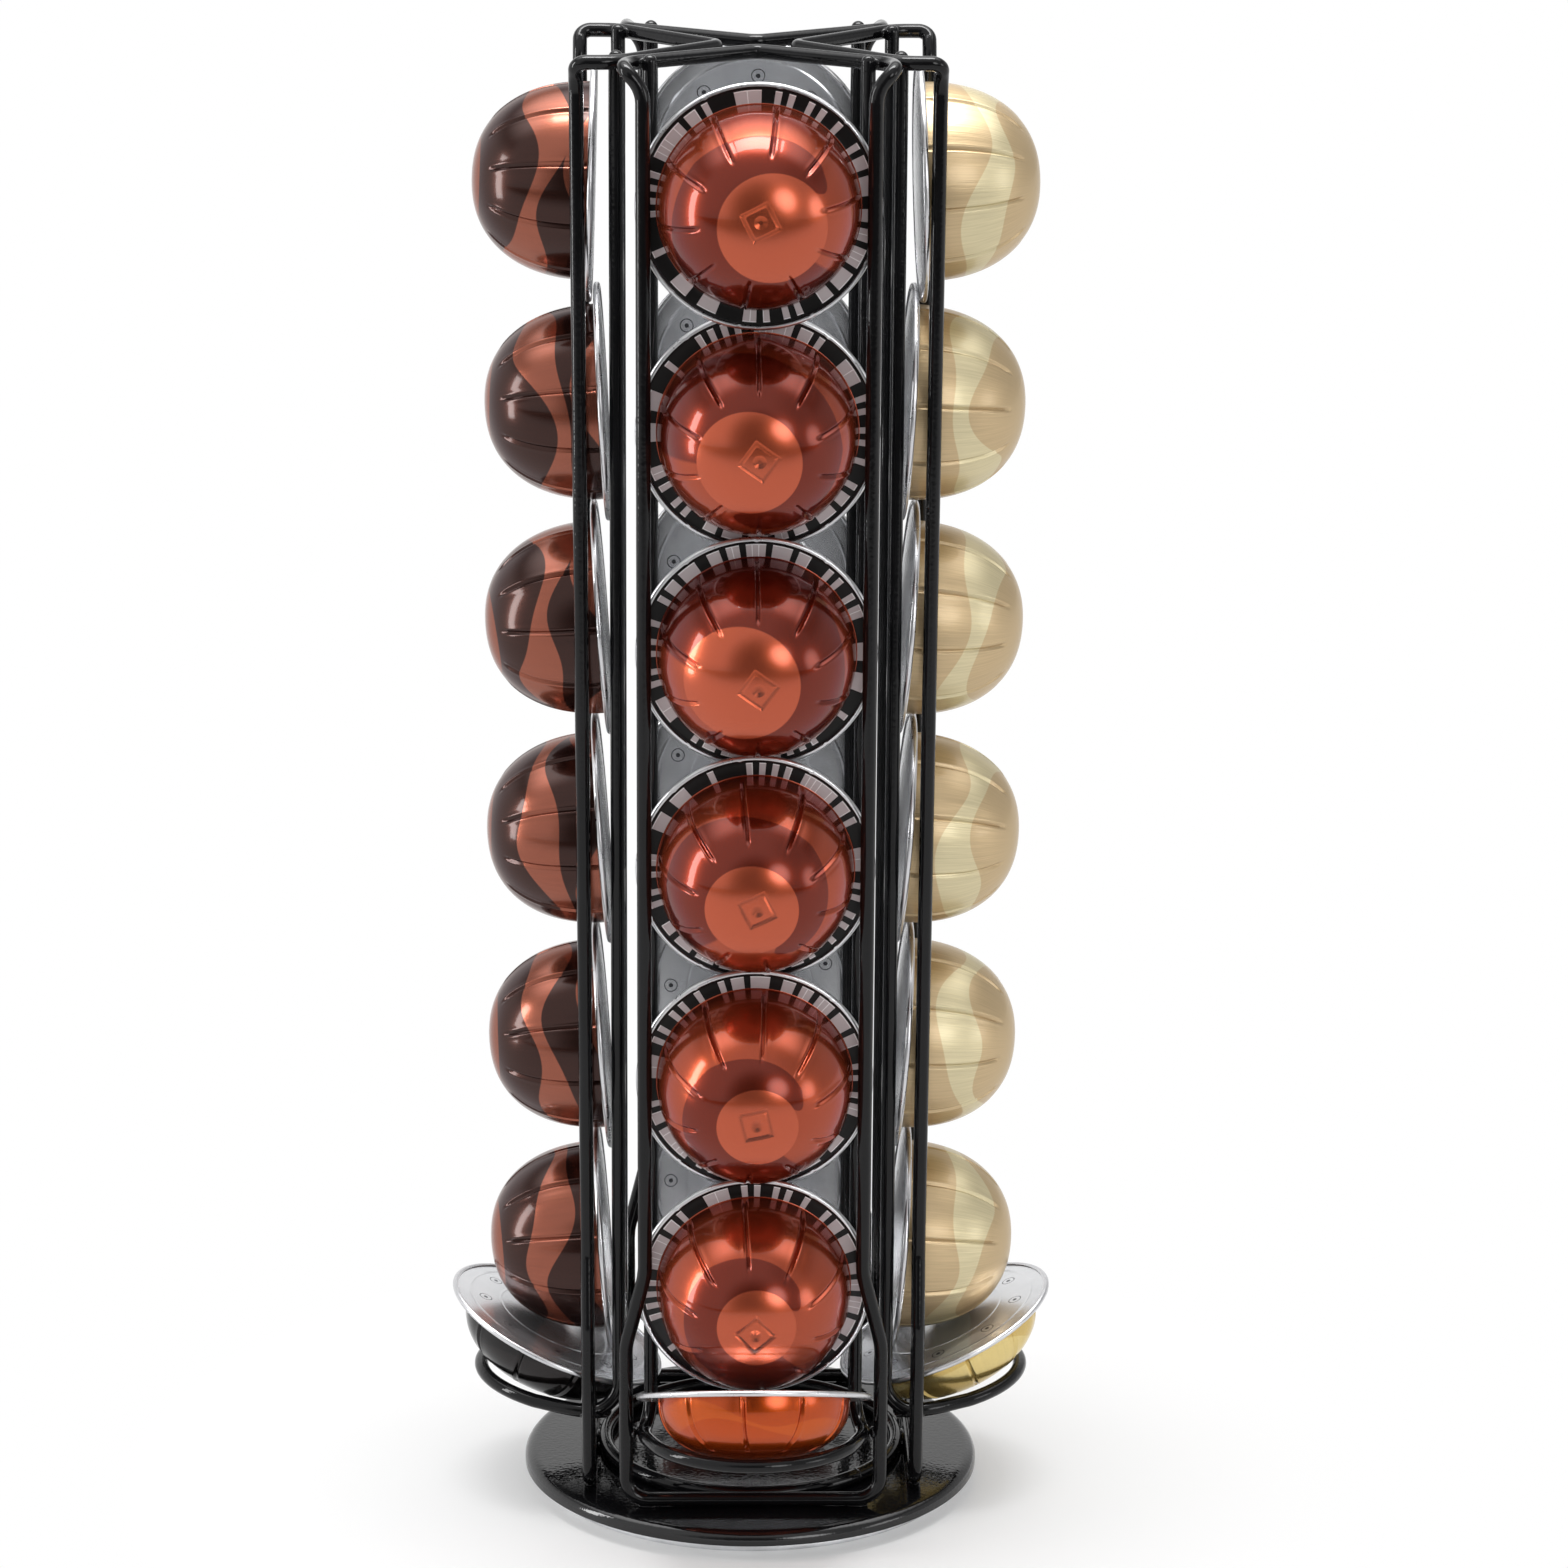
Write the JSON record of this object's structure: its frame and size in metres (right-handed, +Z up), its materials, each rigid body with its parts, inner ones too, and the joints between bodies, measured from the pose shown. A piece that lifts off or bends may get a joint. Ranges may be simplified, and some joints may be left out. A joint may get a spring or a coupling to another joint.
{
  "type": "coffee capsule dispenser",
  "caption": "Turning wire rack that stacks round coffee capsules in open columns and feeds the lowest one of each into a catch ring at the foot.",
  "frame": {"origin": "on the table, under the rack's pivot", "axes": "+Z up along the pivot; the column faced by the picture is on the -Y side, +X to its right"},
  "size_m": [0.1602, 0.1602, 0.3868],
  "materials": {
    "black_coat": "gloss black coated steel",
    "galvanised_disc": "satin zinc",
    "bearing_steel": "bright steel",
    "soft_pad": "matt",
    "copper_red_foil": "lacquered metallic",
    "champagne_foil": "lacquered metallic",
    "chestnut_foil": "lacquered metallic",
    "dark_brown_foil": "lacquered metallic"
  },
  "bodies": {
    "foot": {"foot_disc": "galvanised_disc", "non_slip_pad": "soft_pad", "lower_race": "bearing_steel", "pivot_bolt": "bearing_steel", "pivot_nut": "bearing_steel"},
    "bearing_cage": {"ball_cage": "bearing_steel"},
    "rack": {"base_plate": "black_coat", "upper_race": "bearing_steel", "pivot_washer": "bearing_steel", "base_ring": "black_coat", "front_guide_wire": "black_coat", "front_top_wire": "black_coat", "front_back_wire": "black_coat", "right_guide_wire": "black_coat", "right_top_wire": "black_coat", "right_back_wire": "black_coat", "rear_guide_wire": "black_coat", "rear_top_wire": "black_coat", "rear_back_wire": "black_coat", "left_guide_wire": "black_coat", "left_top_wire": "black_coat", "left_back_wire": "black_coat"},
    "front_stack": {"front_capsule_1": "copper_red_foil", "front_capsule_2": "copper_red_foil", "front_capsule_3": "copper_red_foil", "front_capsule_4": "copper_red_foil", "front_capsule_5": "copper_red_foil", "front_capsule_6": "copper_red_foil"},
    "front_dispensed": {"front_dispensed_capsule": "copper_red_foil"},
    "right_stack": {"right_capsule_1": "champagne_foil", "right_capsule_2": "champagne_foil", "right_capsule_3": "champagne_foil", "right_capsule_4": "champagne_foil", "right_capsule_5": "champagne_foil", "right_capsule_6": "champagne_foil"},
    "right_dispensed": {"right_dispensed_capsule": "champagne_foil"},
    "rear_stack": {"rear_capsule_1": "chestnut_foil", "rear_capsule_2": "chestnut_foil", "rear_capsule_3": "chestnut_foil", "rear_capsule_4": "chestnut_foil", "rear_capsule_5": "chestnut_foil", "rear_capsule_6": "chestnut_foil"},
    "rear_dispensed": {"rear_dispensed_capsule": "chestnut_foil"},
    "left_stack": {"left_capsule_1": "dark_brown_foil", "left_capsule_2": "dark_brown_foil", "left_capsule_3": "dark_brown_foil", "left_capsule_4": "dark_brown_foil", "left_capsule_5": "dark_brown_foil", "left_capsule_6": "dark_brown_foil"},
    "left_dispensed": {"left_dispensed_capsule": "dark_brown_foil"}
  },
  "joints": [
    {"name": "rack_spin", "type": "hinge", "parent": "foot", "child": "rack", "pos_m": [0, 0, 0.006], "axis": [0, 0, 1], "continuous": true},
    {"name": "cage_roll", "type": "hinge", "parent": "foot", "child": "bearing_cage", "pos_m": [0, 0, 0.004], "axis": [0, 0, 1], "continuous": true},
    {"name": "front_stack_lift", "type": "slide", "parent": "rack", "child": "front_stack", "axis": [0, 0, 1], "range_m": [0, 0.36]},
    {"name": "front_capsule_tip", "type": "hinge", "parent": "rack", "child": "front_dispensed", "pos_m": [0, -0.044, 0.067], "axis": [-1, 0, 0], "range_deg": [0, 15]},
    {"name": "right_stack_lift", "type": "slide", "parent": "rack", "child": "right_stack", "axis": [0, 0, 1], "range_m": [0, 0.36]},
    {"name": "right_capsule_tip", "type": "hinge", "parent": "rack", "child": "right_dispensed", "pos_m": [0.044, 0, 0.067], "axis": [0, -1, 0], "range_deg": [0, 15]},
    {"name": "rear_stack_lift", "type": "slide", "parent": "rack", "child": "rear_stack", "axis": [0, 0, 1], "range_m": [0, 0.36]},
    {"name": "rear_capsule_tip", "type": "hinge", "parent": "rack", "child": "rear_dispensed", "pos_m": [0, 0.044, 0.067], "axis": [1, 0, 0], "range_deg": [0, 15]},
    {"name": "left_stack_lift", "type": "slide", "parent": "rack", "child": "left_stack", "axis": [0, 0, 1], "range_m": [0, 0.36]},
    {"name": "left_capsule_tip", "type": "hinge", "parent": "rack", "child": "left_dispensed", "pos_m": [-0.044, 0, 0.067], "axis": [0, 1, 0], "range_deg": [0, 15]}
  ],
  "couplings": [
    {"joint": "cage_roll", "follows": "rack_spin", "ratio": 0.5}
  ]
}
